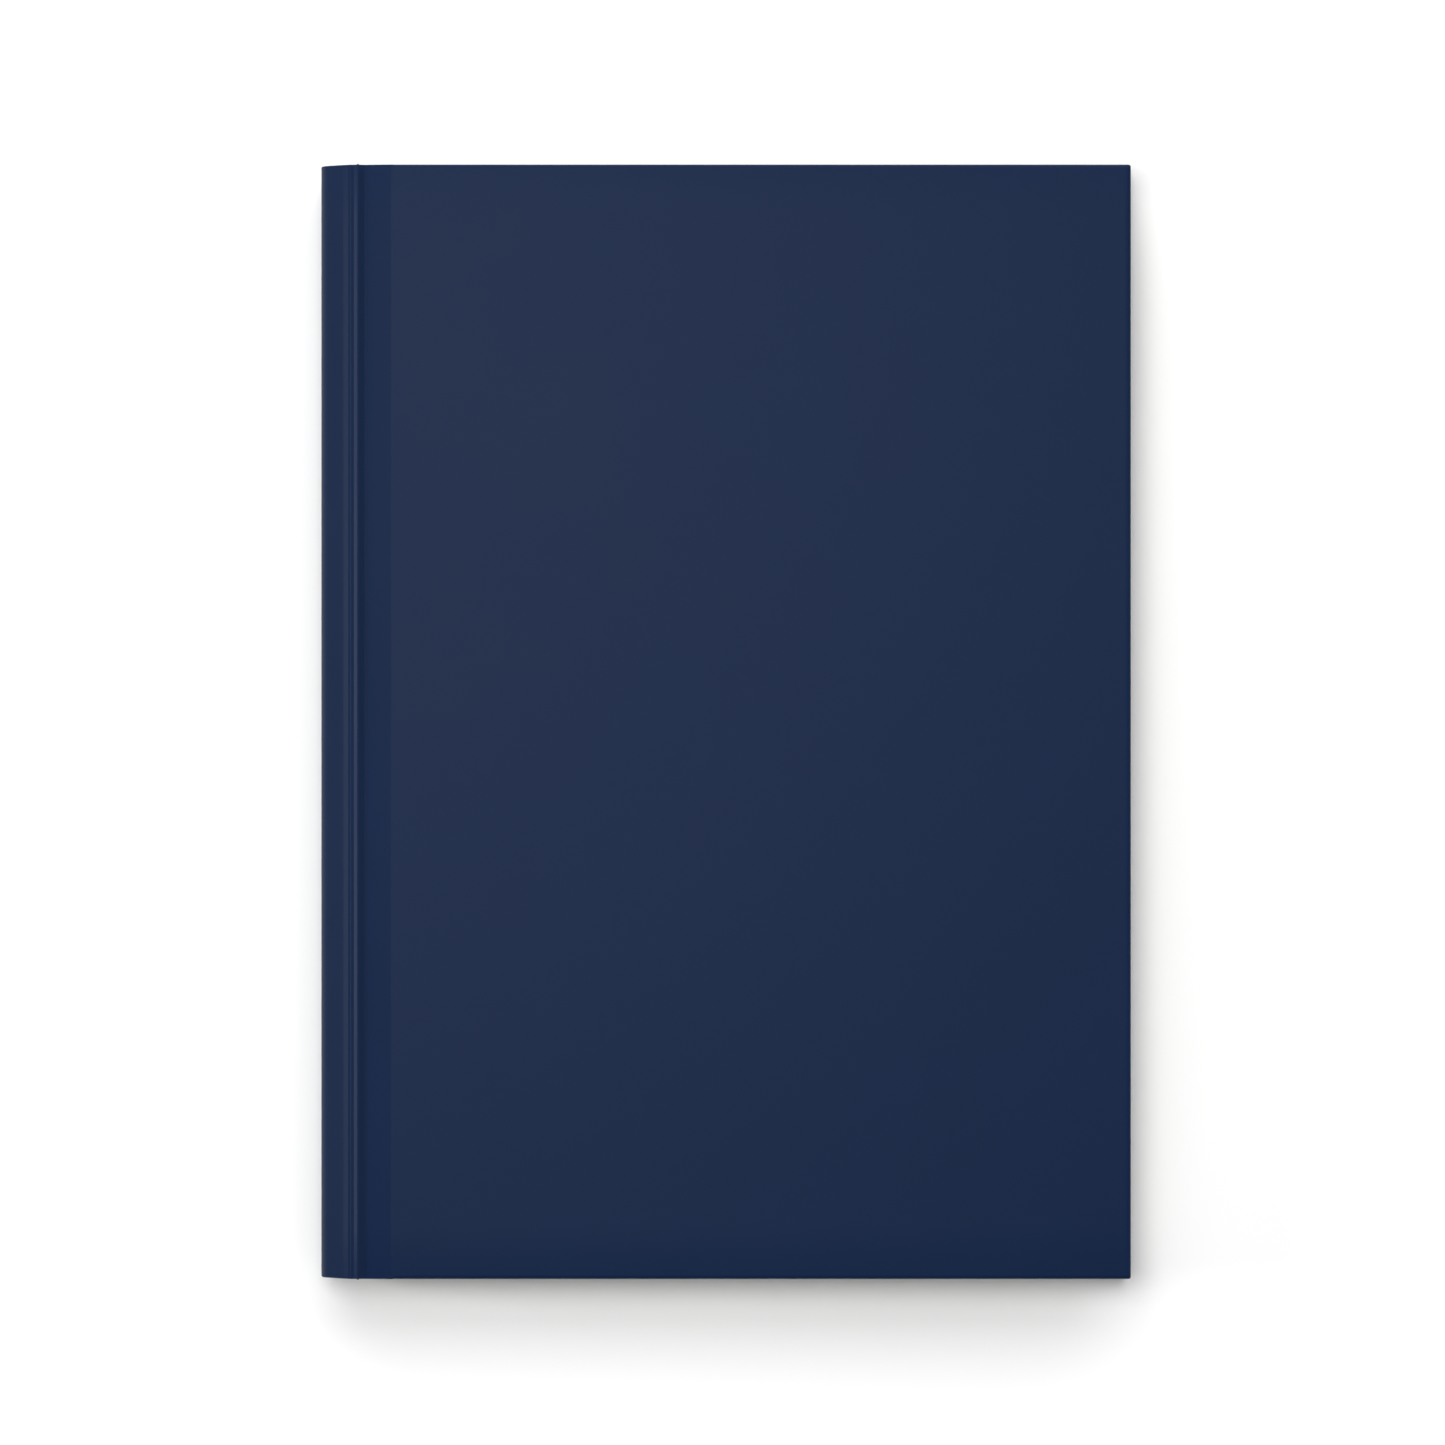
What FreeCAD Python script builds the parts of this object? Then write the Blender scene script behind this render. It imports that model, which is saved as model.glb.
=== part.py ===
"""A closed case-bound pilot logbook lying on its back cover: two hinged boards, a rounded hollow spine and a sewn block.

Row frame in millimetres: +X from the spine to the fore-edge, +Y to the head, +Z up through the front cover.
The origin is the middle of the footprint, on the surface that the back cover rests on.
"""

import math
import os

import FreeCAD
import Part

# Driving dimensions
HEIGHT = 203.2  # cover, tail to head
WIDTH = 147.9  # outermost spine point to fore-edge
WRAP = 0.25  # laminated cover sheet
BOARD = 2.0  # greyboard
ENDPAPER = 0.15
LEAF = 0.12
SECTIONS = 10
LEAVES_PER_SECTION = 8
FRONT_TURNING = 6  # leaves of the first section that turn with the front cover
BACK_TURNING = 2  # leaves of the last section that turn with the back cover
PLAY = 0.025  # air between two sheets that part when the book opens

SQUARE = 3.0  # how far the covers stand past the block
TURN_IN = 15.0  # cover sheet folded over onto the inside of a board
BOARD_CORNER = 0.8
BOARD_EDGE_ROUND = 0.7

SPINE_ROUND = 4.4  # outer radius at the middle of the spine
FLANK_ANGLE = math.radians(48.2)  # how far round the spine goes before its flanks run straight
CREASE_DROP = 0.7  # the spine's stiff flank ends this far below the cover's face
INLAY = 0.7
HOLLOW = 0.4
LINER = 0.15
MULL = 0.2
MULL_FLANGE = 20.0
RIDGE_U = 6.7  # u is the distance from the outermost point of the spine
GROOVE_U = 7.8
GROOVE_DEPTH = 0.92
JOINT_U = 7.75  # the mull and the endpaper leave the shoulder here, pressed up against the groove
BOARD_U = 13.2
SHOULDER_U = 9.1  # where the leaves run straight
SHOULDER_RISE = 1.2  # backing bends the outer folds this far past the block's faces
SWELL_BULGE = 0.16  # each fold's round back
FORE_EDGE_HOLLOW = 3.4  # the rounded block's fore-edge curves in by this much

HINGE_U = 13.8  # gutter line that the flyleaf turns on
HINGE_STEP = 0.4  # each leaf below it turns on a line this much further from the spine
LEAF_PLAY = 0.2  # air between a turning leaf and the gutter strip beside it

THREAD_R = 0.15
KETTLE_INSET = 14.0  # the thread passes to the next section this far from the page's head and tail
BAND_HEIGHT = 1.5
BAND_THICK = 1.5

# Worked-out sizes
COVER = WRAP + BOARD + ENDPAPER
LEAVES = SECTIONS * LEAVES_PER_SECTION
GAPS = FRONT_TURNING + BACK_TURNING + 4
THICK = 2 * COVER + LEAVES * LEAF + 2 * ENDPAPER + GAPS * PLAY
MID = THICK / 2
SPINE_APEX_U = SPINE_ROUND - SPINE_ROUND / math.cos(FLANK_ANGLE)
CREASE_UP = MID - CREASE_DROP
BLOCK_TOP = THICK - COVER - PLAY - ENDPAPER - PLAY
BLOCK_BOTTOM = THICK - BLOCK_TOP
FRONT_STATIC_TOP = BLOCK_TOP - FRONT_TURNING * (LEAF + PLAY)
BACK_STATIC_BOTTOM = BLOCK_BOTTOM + BACK_TURNING * (LEAF + PLAY)
PAGE_HEIGHT = HEIGHT - 2 * SQUARE
MULL_LENGTH = HEIGHT - 2 * TURN_IN
FORE_EDGE_U = WIDTH - SQUARE
BACK_OFFSET = WRAP + INLAY + HOLLOW + LINER + MULL + SWELL_BULGE


def save(name, shape):
    shape.exportStep(os.path.join("parts", name + ".step"))


def box(u0, u1, z0, z1, height=HEIGHT):
    """A plate between two distances from the spine and two heights, centred on the book's length."""
    return Part.makeBox(u1 - u0, height, z1 - z0, FreeCAD.Vector(u0 - WIDTH / 2, -height / 2, z0))


def point(u, z, y=0.0):
    return FreeCAD.Vector(u - WIDTH / 2, y, z)


def mirrored(shape):
    """The same piece on the back cover's side of the book."""
    return shape.mirror(FreeCAD.Vector(0, 0, MID), FreeCAD.Vector(0, 0, 1))


def extruded(edges, height=HEIGHT):
    face = Part.Face(Part.Wire(edges))
    face.translate(FreeCAD.Vector(0, -height / 2, 0))
    return face.extrude(FreeCAD.Vector(0, height, 0))


# A bent sheet in cross-section: a polyline whose corners are arcs, given a thickness.


def unit(a, b):
    length = math.hypot(b[0] - a[0], b[1] - a[1])
    return (b[0] - a[0]) / length, (b[1] - a[1]) / length


def offset_path(path, distance):
    """The path moved to its right by a distance. Each corner is (u, z, radius)."""
    moved = []
    for i, (u, z, radius) in enumerate(path):
        before = unit(path[i - 1], path[i]) if i else unit(path[0], path[1])
        after = unit(path[i], path[i + 1]) if i < len(path) - 1 else before
        right_before = (before[1], -before[0])
        right_after = (after[1], -after[0])
        reach = distance / (1 + right_before[0] * right_after[0] + right_before[1] * right_after[1])
        turn = before[0] * after[1] - before[1] * after[0]
        new_radius = radius + math.copysign(distance, turn) if radius else 0.0
        moved.append((
            u + (right_before[0] + right_after[0]) * reach,
            z + (right_before[1] + right_after[1]) * reach,
            max(new_radius, 0.0),
        ))
    return moved


def path_edges(path):
    edges = []
    here = point(*path[0][:2])
    for i in range(1, len(path) - 1):
        u, z, radius = path[i]
        before, after = unit(path[i - 1], path[i]), unit(path[i], path[i + 1])
        if radius < 1e-6:
            edges.append(Part.makeLine(here, point(u, z)))
            here = point(u, z)
            continue
        turn = math.acos(max(-1.0, min(1.0, before[0] * after[0] + before[1] * after[1])))
        cut = radius * math.tan(turn / 2)
        side = math.copysign(1, before[0] * after[1] - before[1] * after[0])
        centre = (u - before[0] * cut - before[1] * radius * side, z - before[1] * cut + before[0] * radius * side)
        outward = unit(centre, (u, z))
        start = point(u - before[0] * cut, z - before[1] * cut)
        middle = point(centre[0] + outward[0] * radius, centre[1] + outward[1] * radius)
        end = point(u + after[0] * cut, z + after[1] * cut)
        edges.append(Part.makeLine(here, start))
        edges.append(Part.Arc(start, middle, end).toShape())
        here = end
    edges.append(Part.makeLine(here, point(*path[-1][:2])))
    return edges


def sheet(path, outer_offset, thickness, height=HEIGHT):
    """A bent sheet whose outer face lies outer_offset to the right of the path."""
    outer = offset_path(path, outer_offset)
    inner = offset_path(path, outer_offset + thickness)
    ends = [
        Part.makeLine(point(*outer[-1][:2]), point(*inner[-1][:2])),
        Part.makeLine(point(*inner[0][:2]), point(*outer[0][:2])),
    ]
    loop = Part.__sortEdges__(path_edges(outer) + path_edges(inner) + ends)
    return extruded(loop, height)


def flank(up):
    """The point of the spine's outer face at a height above or below its middle, on the straight flank."""
    return SPINE_APEX_U + abs(up) * math.tan(FLANK_ANGLE), MID + up


def spine_path(up):
    """The spine's outer face from the back cover's side, round to the front cover's side."""
    return [(*flank(-up), 0), (SPINE_APEX_U, MID, SPINE_ROUND), (*flank(up), 0)]


# The case


def cover_slab(inset):
    """A board's outline with its outer edges rounded, drawn in by the cover sheet's thickness where asked."""
    spine_side, fore = BOARD_U, WIDTH - inset
    top = THICK - inset
    slab = box(spine_side, fore, THICK - WRAP - BOARD, top, HEIGHT - 2 * inset)
    fore_x = fore - WIDTH / 2
    corners = [e for e in slab.Edges if is_vertical(e) and abs(e.CenterOfMass.x - fore_x) < 0.01]
    slab = slab.makeFillet(BOARD_CORNER - inset, corners)
    rim = [e for e in slab.Edges if abs(e.BoundBox.ZMin - top) < 0.01 and e.CenterOfMass.x > point(BOARD_U, 0).x + 0.1]
    return slab.makeFillet(BOARD_EDGE_ROUND - inset, rim)


def is_vertical(edge):
    return edge.BoundBox.ZLength > 1 and edge.BoundBox.XLength < 0.01 and edge.BoundBox.YLength < 0.01


def make_cover():
    inner_face = THICK - WRAP - BOARD
    core = cover_slab(WRAP)
    window = box(BOARD_U, WIDTH - TURN_IN, inner_face, inner_face + WRAP, HEIGHT - 2 * TURN_IN)
    turn_in_depth = box(BOARD_U, WIDTH, inner_face, inner_face + WRAP)
    turn_in_recess = turn_in_depth.cut(window)
    flange = box(BOARD_U, BOARD_U + MULL_FLANGE, inner_face, inner_face + ENDPAPER, MULL_LENGTH)
    board = core.cut(turn_in_recess).cut(flange)
    wrap = cover_slab(0.0).cut(core.cut(turn_in_depth)).cut(window)
    pastedown = box(BOARD_U, WIDTH - SQUARE, inner_face - ENDPAPER, inner_face, PAGE_HEIGHT)
    for name, solid in (("board", board), ("wrap", wrap), ("pastedown", pastedown), ("mull_flange", flange)):
        save("front_" + name, solid)
        save("back_" + name, mirrored(solid))


def make_spine():
    path = spine_path(CREASE_UP)
    save("spine_wrap", sheet(path, 0, WRAP))
    save("spine_inlay", sheet(path, WRAP, INLAY, HEIGHT - 2 * WRAP))
    save("spine_liner", sheet(path, WRAP + INLAY + HOLLOW, LINER, PAGE_HEIGHT - 2 * SQUARE))
    shoulders = spine_path(MID)
    save("mull", sheet(shoulders, WRAP + INLAY + HOLLOW + LINER, MULL, MULL_LENGTH))


def make_joints():
    """The sheets that bend when a cover opens: the cover sheet in its groove, the mull and the endpaper fold."""
    groove = [
        (*flank(CREASE_UP), 0),
        (*flank(MID), 0.5),
        (RIDGE_U, THICK - 0.04, 0.4),
        (GROOVE_U, THICK - GROOVE_DEPTH, 0.45),
        (BOARD_U - 0.1, THICK - 0.02, 0),
    ]
    under_groove = THICK - GROOVE_DEPTH - WRAP - 0.05
    mull = [(JOINT_U, under_groove, 0), (GROOVE_U + 0.5, under_groove, 0.8), (BOARD_U - 0.1, THICK - COVER + 0.32, 0)]
    endpaper = [(u, z - 0.16, radius) for u, z, radius in mull]
    pieces = (
        ("joint_wrap", sheet(groove, 0, WRAP)),
        ("joint_mull", sheet(mull, 0, 0.1, MULL_LENGTH)),
        ("joint_endpaper", sheet(endpaper, 0, ENDPAPER, PAGE_HEIGHT)),
    )
    for name, solid in pieces:
        save("front_" + name, solid)
        save("back_" + name, mirrored(solid))


# The text block


def back_point(share):
    """A point of the block's rounded back, from 0 at the front shoulder to 1 at the back shoulder."""
    radius = SPINE_ROUND - BACK_OFFSET
    apex = SPINE_APEX_U + BACK_OFFSET / math.cos(FLANK_ANGLE)
    tip_up = BLOCK_TOP + SHOULDER_RISE - MID
    bend_up = radius * math.sin(FLANK_ANGLE)
    flank_length = (tip_up - bend_up) / math.cos(FLANK_ANGLE)
    arc_length = radius * FLANK_ANGLE
    along = (1 - 2 * share) * (flank_length + arc_length)
    if abs(along) < arc_length:
        angle = along / radius
        return SPINE_ROUND - radius * math.cos(angle), MID + radius * math.sin(angle)
    up = bend_up + (abs(along) - arc_length) * math.cos(FLANK_ANGLE)
    return apex + up * math.tan(FLANK_ANGLE), MID + math.copysign(up, along)


def section_line(number):
    """Height of the face between section number and the next one, where the leaves run straight."""
    if number == 0:
        return BLOCK_TOP
    if number == SECTIONS:
        return BLOCK_BOTTOM
    return FRONT_STATIC_TOP - (number * LEAVES_PER_SECTION - FRONT_TURNING) * LEAF


def shoulder_radius():
    u, z = back_point(0)
    run, rise = SHOULDER_U - u, z - BLOCK_TOP
    return (run ** 2 + rise ** 2) / (2 * rise)


def bend_edge(number):
    """The curve of a section's face from the straight part round to the block's back."""
    u, z = back_point(number / SECTIONS)
    level = section_line(number)
    run, rise = SHOULDER_U - u, z - level
    if abs(rise) < 0.02:
        return Part.makeLine(point(SHOULDER_U, level), point(u, z))
    radius = (run ** 2 + rise ** 2) / (2 * rise)
    half = math.asin(min(1.0, run / abs(radius))) / 2
    if abs(rise) > run:
        half = (math.pi - 2 * half) / 2
    middle = point(SHOULDER_U - abs(radius) * math.sin(half), level + radius * (1 - math.cos(half)))
    return Part.Arc(point(SHOULDER_U, level), middle, point(u, z)).toShape()


def fold_edge(number):
    """The round back of a section's folds."""
    (u0, z0), (u1, z1) = back_point((number - 1) / SECTIONS), back_point(number / SECTIONS)
    length = math.hypot(u1 - u0, z1 - z0)
    out_u, out_z = -(z0 - z1) / length, (u0 - u1) / length
    middle = point((u0 + u1) / 2 + out_u * SWELL_BULGE, (z0 + z1) / 2 + out_z * SWELL_BULGE)
    return Part.Arc(point(u0, z0), middle, point(u1, z1)).toShape()


def fore_edge(z):
    """Distance from the spine to the hollowed fore-edge at a height."""
    share = (z - MID) / (BLOCK_TOP - MID)
    return FORE_EDGE_U - FORE_EDGE_HOLLOW * (1 - share * share)


def hinge_u(place):
    """Gutter line of the flyleaf (place 0) and of each leaf inside it."""
    return HINGE_U + HINGE_STEP * place


def leaf_foot(place):
    """Height, on the front side, of the face nearest the block's middle of the leaf at a place from the cover."""
    return BLOCK_TOP - place * LEAF - (place - 1) * PLAY


def make_section(number):
    top, bottom = section_line(number - 1), section_line(number)
    top_corner, bottom_corner = point(fore_edge(top), top), point(fore_edge(bottom), bottom)
    right = [
        Part.makeLine(point(SHOULDER_U, top), top_corner),
        Part.makeLine(top_corner, bottom_corner),
        Part.makeLine(bottom_corner, point(SHOULDER_U, bottom)),
    ]
    loop = Part.__sortEdges__([bend_edge(number - 1), fold_edge(number), bend_edge(number)] + right)
    section = extruded(loop, PAGE_HEIGHT)
    if number == 1:
        section = section.cut(turning_space(FRONT_TURNING))
    if number == SECTIONS:
        section = section.cut(mirrored(turning_space(BACK_TURNING)))
    return section


def turning_space(leaves):
    """The room taken from the first section by its turning leaves, one step for each."""
    steps = []
    for place in range(1, leaves + 1):
        floor = leaf_foot(place) - PLAY
        steps.append(box(hinge_u(place) - LEAF_PLAY, WIDTH, floor, BLOCK_TOP + 1))
    return steps[0].multiFuse(steps[1:])


def make_leaf(place):
    foot = leaf_foot(place)
    return box(hinge_u(place), fore_edge(foot), foot, foot + LEAF, PAGE_HEIGHT)


def make_stub(thick):
    """The flyleaf's foot, glued down the first section's shoulder and onto its face as far as the gutter."""
    end = hinge_u(0) - LEAF_PLAY
    centre_z = BLOCK_TOP + shoulder_radius()
    u, z = back_point(0)
    inward = unit((u, z), (SHOULDER_U, centre_z))
    inner_u, inner_z = u + inward[0] * thick, z + inward[1] * thick
    inner_radius = shoulder_radius() - thick
    half = math.radians(45)
    middle = point(SHOULDER_U - inner_radius * math.sin(half), centre_z - inner_radius * math.cos(half))
    loop = [
        bend_edge(0),
        Part.makeLine(point(u, z), point(inner_u, inner_z)),
        Part.Arc(point(inner_u, inner_z), middle, point(SHOULDER_U, BLOCK_TOP + thick)).toShape(),
        Part.makeLine(point(SHOULDER_U, BLOCK_TOP + thick), point(end, BLOCK_TOP + thick)),
        Part.makeLine(point(end, BLOCK_TOP + thick), point(end, BLOCK_TOP)),
        Part.makeLine(point(end, BLOCK_TOP), point(SHOULDER_U, BLOCK_TOP)),
    ]
    return extruded(Part.__sortEdges__(loop), PAGE_HEIGHT)


def make_flyleaf():
    foot = BLOCK_TOP + PLAY
    flyleaf = box(hinge_u(0), FORE_EDGE_U, foot, foot + ENDPAPER, PAGE_HEIGHT)
    for name, solid in (("flyleaf", flyleaf), ("flyleaf_stub", make_stub(foot + ENDPAPER - BLOCK_TOP))):
        save("front_" + name, solid)
        save("back_" + name, mirrored(solid))


def make_thread():
    """One thread: along a section's fold, over to the next at a kettle stitch, and back the other way."""
    reach = PAGE_HEIGHT / 2 - KETTLE_INSET
    stops = []
    for number in range(1, SECTIONS + 1):
        u, z = back_point((number - 0.5) / SECTIONS)
        side = 1 if number % 2 else -1
        stops += [point(u, z, -side * reach), point(u, z, side * reach)]
    runs = [Part.makeCylinder(THREAD_R, (b - a).Length, a, b - a) for a, b in zip(stops, stops[1:])]
    turns = [Part.makeSphere(THREAD_R, stop) for stop in stops[1:-1]]
    return runs[0].multiFuse(runs[1:] + turns)


def make_block():
    thread = make_thread()
    save("sewing_thread", thread)
    for number in range(1, SECTIONS + 1):
        save("section_%02d" % number, make_section(number).cut(thread))
    for place in range(1, FRONT_TURNING + 1):
        save("leaf_%02d" % place, make_leaf(place))
    for place in range(1, BACK_TURNING + 1):
        save("leaf_%02d" % (LEAVES + 1 - place), mirrored(make_leaf(place)))


def make_bands():
    """A cord-shaped band across the folds at the head, and one at the tail."""
    path = spine_path(BLOCK_TOP + SHOULDER_RISE - MID - 0.8)
    band = sheet(path, BACK_OFFSET, BAND_THICK, BAND_HEIGHT)
    seat = (PAGE_HEIGHT + BAND_HEIGHT) / 2
    for name, side in (("head_band", 1), ("tail_band", -1)):
        save(name, band.translated(FreeCAD.Vector(0, side * seat, 0)))


os.makedirs("parts", exist_ok=True)
make_cover()
make_spine()
make_joints()
make_block()
make_flyleaf()
make_bands()
print("thickness", round(THICK, 3), "block", round(BLOCK_BOTTOM, 3), round(BLOCK_TOP, 3))
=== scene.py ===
"""The visual model of a case-bound pilot logbook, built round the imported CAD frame.

Row frame: +X from the spine to the fore-edge, +Y to the head, +Z up through the front cover.
Sizes are in millimetres until a mesh is made. u is a distance from the outermost point of the spine.
"""

import math
import random

import bpy
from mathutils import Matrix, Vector


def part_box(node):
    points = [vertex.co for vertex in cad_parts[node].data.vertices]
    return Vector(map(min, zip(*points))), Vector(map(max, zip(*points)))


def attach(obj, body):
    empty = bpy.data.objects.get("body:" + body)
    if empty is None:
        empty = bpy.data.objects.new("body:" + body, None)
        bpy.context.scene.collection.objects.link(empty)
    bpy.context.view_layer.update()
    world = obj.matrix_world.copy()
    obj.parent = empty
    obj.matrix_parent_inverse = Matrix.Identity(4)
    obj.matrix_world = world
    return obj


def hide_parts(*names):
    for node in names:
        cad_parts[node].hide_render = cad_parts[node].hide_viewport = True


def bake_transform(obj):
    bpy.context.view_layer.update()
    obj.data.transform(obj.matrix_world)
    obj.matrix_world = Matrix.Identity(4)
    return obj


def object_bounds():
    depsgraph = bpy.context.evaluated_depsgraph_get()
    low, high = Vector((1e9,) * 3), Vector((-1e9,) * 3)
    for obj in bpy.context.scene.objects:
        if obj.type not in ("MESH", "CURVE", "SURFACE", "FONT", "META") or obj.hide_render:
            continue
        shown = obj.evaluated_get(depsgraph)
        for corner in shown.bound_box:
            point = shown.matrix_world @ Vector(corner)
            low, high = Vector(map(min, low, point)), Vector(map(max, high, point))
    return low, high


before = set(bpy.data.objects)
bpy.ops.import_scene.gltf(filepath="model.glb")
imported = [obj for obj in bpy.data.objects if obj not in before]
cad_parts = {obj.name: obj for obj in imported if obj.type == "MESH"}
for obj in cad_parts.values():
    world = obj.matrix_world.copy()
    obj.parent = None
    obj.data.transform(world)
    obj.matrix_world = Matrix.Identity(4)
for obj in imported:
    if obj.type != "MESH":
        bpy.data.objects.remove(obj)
cad_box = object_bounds()
random.seed(7)

MM = 0.001

# Sizes from the frame
LOW, HIGH = cad_box
HEIGHT = (HIGH.y - LOW.y) / MM
THICK = (HIGH.z - LOW.z) / MM
SPINE_X = LOW.x / MM
FORE_U = HIGH.x / MM - SPINE_X
MID = THICK / 2
BOARD_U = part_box("front_board")[0].x / MM - SPINE_X
COVER_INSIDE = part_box("front_board")[0].z / MM
PASTE_LOW, PASTE_HIGH = (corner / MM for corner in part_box("front_pastedown"))
PAGE_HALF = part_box("front_flyleaf")[1].y / MM
FLY_LOW, FLY_HIGH = (corner.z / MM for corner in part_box("front_flyleaf"))
BLOCK_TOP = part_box("leaf_01")[1].z / MM
LEAF = BLOCK_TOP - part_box("leaf_01")[0].z / MM
MULL_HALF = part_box("mull")[1].y / MM

# Sheets and folds, the same as the CAD's
WRAP = 0.25
SPINE_STACK = 1.2  # cover sheet, inlay and turned-in cover sheet
SPINE_ROUND = 4.4
FLANK = math.radians(48.2)
APEX_U = SPINE_ROUND - SPINE_ROUND / math.cos(FLANK)
CREASE_UP = 6.8
BACK_OFFSET = 1.86
SHOULDER_U = 9.1
SHOULDER_RISE = 1.2
TURN_IN = 15.0
EDGE_ROUND = 0.7
FOLD_ROUND = 0.25
GROOVE_U = 7.8
GROOVE_DEPTH = 0.92
JOINT_U = 7.75
SECTIONS = 10
PER_SECTION = 8
LEAVES = SECTIONS * PER_SECTION
FRONT_TURNING = 6
BACK_TURNING = 2
PITCH = 0.145  # one turning leaf and the air under it
FORE_EDGE_HOLLOW = 3.4
PAGE_FORE_U = FORE_U - 3.0  # the boards stand 3 mm past the leaves
GUTTER_U = 13.8  # the flyleaf's hinge line
GUTTER_STEP = 0.4  # from one turning leaf's hinge line to the next one's

# Bends and thicknesses that only the visual model has
SHEET = 0.104  # a leaf without the air between it and the next
BEND_BEFORE, BEND_AFTER = 1.2, 3.2  # how far a leaf's bend reaches either side of its hinge line
COVER_BEND = GROOVE_U - 0.35, GROOVE_U + 0.65  # where a cover's sheets bend
SKIN = WRAP - 0.02  # the cover sheet, thinned to clear what lies under it
JOINT_DEPTH = GROOVE_DEPTH + WRAP  # under the cover sheet at the bottom of the groove
GAUZE = 0.09
GAUZE_GAP = 0.17  # room for the gauze between the cover sheet and the endpaper in the groove

# Mesh steps
LONG = 9.0  # longest face on flat parts
SKIN_ROWS = 22
RIM_STEPS = 6
BAND_SIDES = 14


# Paths in cross-section


def unit(a, b):
    length = math.hypot(b[0] - a[0], b[1] - a[1])
    return (b[0] - a[0]) / length, (b[1] - a[1]) / length


def rounded(corners, turn=math.radians(7)):
    """Points along a polyline whose corners (u, z, radius) are arcs."""
    points = [corners[0][:2]]
    for before, corner, after in zip(corners, corners[1:], corners[2:]):
        a, b = unit(before, corner), unit(corner, after)
        angle = math.acos(max(-1.0, min(1.0, a[0] * b[0] + a[1] * b[1])))
        radius = corner[2]
        if radius == 0 or angle < 1e-4:
            points.append(corner[:2])
            continue
        side = math.copysign(1, a[0] * b[1] - a[1] * b[0])
        cut = radius * math.tan(angle / 2)
        start = corner[0] - a[0] * cut, corner[1] - a[1] * cut
        centre = start[0] - a[1] * radius * side, start[1] + a[0] * radius * side
        steps = max(2, math.ceil(angle / turn))
        for i in range(steps + 1):
            swing = side * angle * i / steps
            x, y = start[0] - centre[0], start[1] - centre[1]
            points.append((
                centre[0] + x * math.cos(swing) - y * math.sin(swing),
                centre[1] + x * math.sin(swing) + y * math.cos(swing),
            ))
    points.append(corners[-1][:2])
    return points


def refined(points, longest):
    """The same path with its long straights cut up: longest is a function of u."""
    out = [points[0]]
    for a, b in zip(points, points[1:]):
        du, dz = b[0] - a[0], b[1] - a[1]
        limit = min(longest(a[0]), longest(b[0]), longest((a[0] + b[0]) / 2))
        count = max(1, math.ceil(math.hypot(du, dz) / limit))
        out += [(a[0] + du * i / count, a[1] + dz * i / count) for i in range(1, count + 1)]
    return out


def normals(points):
    """Unit vectors to the right of the path at each point."""
    out = []
    for i in range(len(points)):
        a, b = points[max(i - 1, 0)], points[min(i + 1, len(points) - 1)]
        direction = unit(a, b)
        out.append((direction[1], -direction[0]))
    return out


def lengths(points):
    out = [0.0]
    for a, b in zip(points, points[1:]):
        out.append(out[-1] + math.hypot(b[0] - a[0], b[1] - a[1]))
    return out


def joint_steps(u):
    """Longest face in the cover's bending joint and elsewhere."""
    if GROOVE_U - 1.0 < u < GROOVE_U + 1.0:
        return 0.09
    return 0.5 if u < BOARD_U + 1 else LONG


def leaf_steps(hinge):
    margin = 0.3
    return lambda u: 0.25 if hinge - BEND_BEFORE - margin < u < hinge + BEND_AFTER + margin else LONG


# Meshes


class Build:
    """Vertices, faces, flat-sheet coordinates and material slots of one piece. vert takes millimetres."""

    def __init__(self):
        self.verts, self.faces, self.flat, self.slots = [], [], [], []

    def vert(self, u, y, z, flat):
        self.verts.append(((u + SPINE_X) * MM, y * MM, z * MM))
        self.flat.append((flat[0] * MM, flat[1] * MM))
        return len(self.verts) - 1

    def face(self, *corners, slot=0):
        ring = []
        for corner in corners:
            if not ring or self.verts[corner] != self.verts[ring[-1]]:
                ring.append(corner)
        if self.verts[ring[0]] == self.verts[ring[-1]]:
            ring.pop()
        if len(ring) > 2:
            self.faces.append(ring)
            self.slots.append(slot)

    def strip(self, row, next_row, slot=0):
        for a, b, c, d in zip(row, row[1:], next_row[1:], next_row):
            self.face(a, b, c, d, slot=slot)

    def piece(self, name, *materials, mirror=False, sharp=35):
        """The finished object. mirror turns a front piece into the back cover's, and sharp is in degrees."""
        verts, faces = self.verts, self.faces
        if mirror:
            verts = [(x, y, THICK * MM - z) for x, y, z in verts]
            faces = [ring[::-1] for ring in faces]
        mesh = bpy.data.meshes.new(name)
        mesh.from_pydata(verts, [], faces)
        layer = mesh.uv_layers.new(name="flat")
        for loop in mesh.loops:
            layer.data[loop.index].uv = self.flat[loop.vertex_index]
        for polygon, slot in zip(mesh.polygons, self.slots):
            polygon.material_index = slot
            polygon.use_smooth = True
        for material in materials:
            mesh.materials.append(material)
        obj = bpy.data.objects.new(name, mesh)
        bpy.context.scene.collection.objects.link(obj)
        mesh.validate()
        mesh.set_sharp_from_angle(angle=math.radians(sharp))
        return obj


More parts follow.
